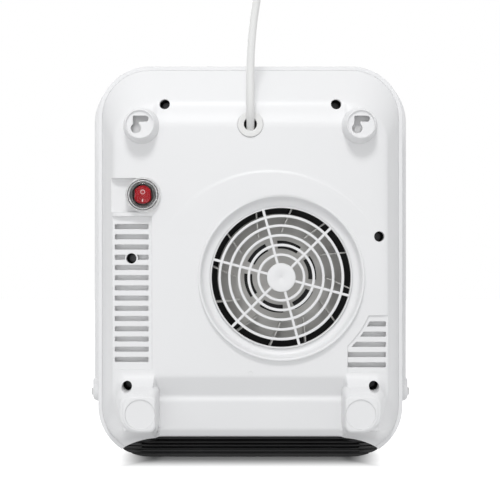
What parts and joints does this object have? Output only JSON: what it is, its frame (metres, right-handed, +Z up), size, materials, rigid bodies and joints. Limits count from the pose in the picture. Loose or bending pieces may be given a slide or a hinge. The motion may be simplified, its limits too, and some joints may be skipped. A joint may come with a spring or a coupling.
{
  "type": "wall fan heater",
  "caption": "Upright bathroom fan heater for hanging on a wall, with a caged rear air inlet, louvred downward outlet, swing-out towel rail, round rocker switch and mains lead.",
  "frame": {"origin": "on the wall plane, midway between the two hanging screws", "axes": "+Z up, +Y into the wall, so the body stands out toward -Y, +X to the right of somebody facing the heater's back"},
  "size_m": [0.2996, 0.1473, 0.5227],
  "materials": {
    "white_plastic": "satin",
    "black_plastic": "matte",
    "grey_plastic": "matte",
    "fan_plastic": "matte",
    "red_plastic": "gloss",
    "clear_rubber": "clear",
    "cord_plastic": "satin",
    "satin_steel": "satin",
    "rail_paint": "satin",
    "zinc_steel": "zinc",
    "ceramic": "matte",
    "mica": "matte"
  },
  "bodies": {
    "heater_body": {"rear_cover": "white_plastic", "front_shell": "white_plastic", "outlet_grille": "black_plastic", "fan_guard": "white_plastic", "scroll_housing": "black_plastic", "scroll_inlet_plate": "black_plastic", "motor_body": "zinc_steel", "heater_frame": "mica", "heating_element_rear": "satin_steel", "heating_element_front": "satin_steel", "thermal_cutout": "zinc_steel", "switch_housing": "black_plastic", "switch_boot": "clear_rubber", "selector_switch_body": "grey_plastic", "thermostat_body": "ceramic", "pilot_lens": "red_plastic", "rail_pin_left": "zinc_steel", "rail_pin_right": "zinc_steel", "cord_gland": "cord_plastic", "cord_clamp": "grey_plastic", "terminal_block": "ceramic", "mains_cord": "cord_plastic", "mains_cord_coil": "cord_plastic", "cord_tie": "black_plastic", "plug_body": "cord_plastic", "plug_pin_upper": "satin_steel", "plug_pin_lower": "satin_steel", "cover_screw_1": "zinc_steel", "cover_screw_2": "zinc_steel", "cover_screw_3": "zinc_steel", "cover_screw_4": "zinc_steel", "cover_screw_5": "zinc_steel", "cover_screw_6": "zinc_steel", "scroll_screw_1": "zinc_steel", "scroll_screw_2": "zinc_steel", "scroll_screw_3": "zinc_steel", "motor_screw_1": "zinc_steel", "motor_screw_2": "zinc_steel", "motor_screw_3": "zinc_steel", "clamp_screw_left": "zinc_steel", "clamp_screw_right": "zinc_steel"},
    "fan": {"impeller": "fan_plastic", "motor_shaft": "satin_steel"},
    "rocker": {"switch_rocker": "red_plastic"},
    "rail": {"towel_rail": "rail_paint", "rail_knuckle_left": "white_plastic", "rail_knuckle_right": "white_plastic"},
    "selector": {"selector_knob": "white_plastic", "selector_spindle": "zinc_steel"},
    "thermostat": {"thermostat_knob": "white_plastic", "thermostat_spindle": "zinc_steel"}
  },
  "joints": [
    {"name": "impeller_spin", "type": "hinge", "parent": "heater_body", "child": "fan", "pos_m": [-0.0269, -0.045, -0.1362], "axis": [0, 1, 0], "continuous": true},
    {"name": "rocker_tilt", "type": "hinge", "parent": "heater_body", "child": "rocker", "pos_m": [0.0928, -0.0145, -0.0645], "axis": [-1, 0, 0], "range_deg": [0, 20]},
    {"name": "towel_rail_swing", "type": "hinge", "parent": "heater_body", "child": "rail", "pos_m": [0, -0.09, -0.244], "axis": [1, 0, 0], "range_deg": [0, 90]},
    {"name": "selector_turn", "type": "hinge", "parent": "heater_body", "child": "selector", "pos_m": [-0.058, -0.138, -0.034], "axis": [0, 1, 0], "range_deg": [0, 270]},
    {"name": "thermostat_turn", "type": "hinge", "parent": "heater_body", "child": "thermostat", "pos_m": [0.058, -0.138, -0.034], "axis": [0, 1, 0], "range_deg": [0, 270]}
  ]
}
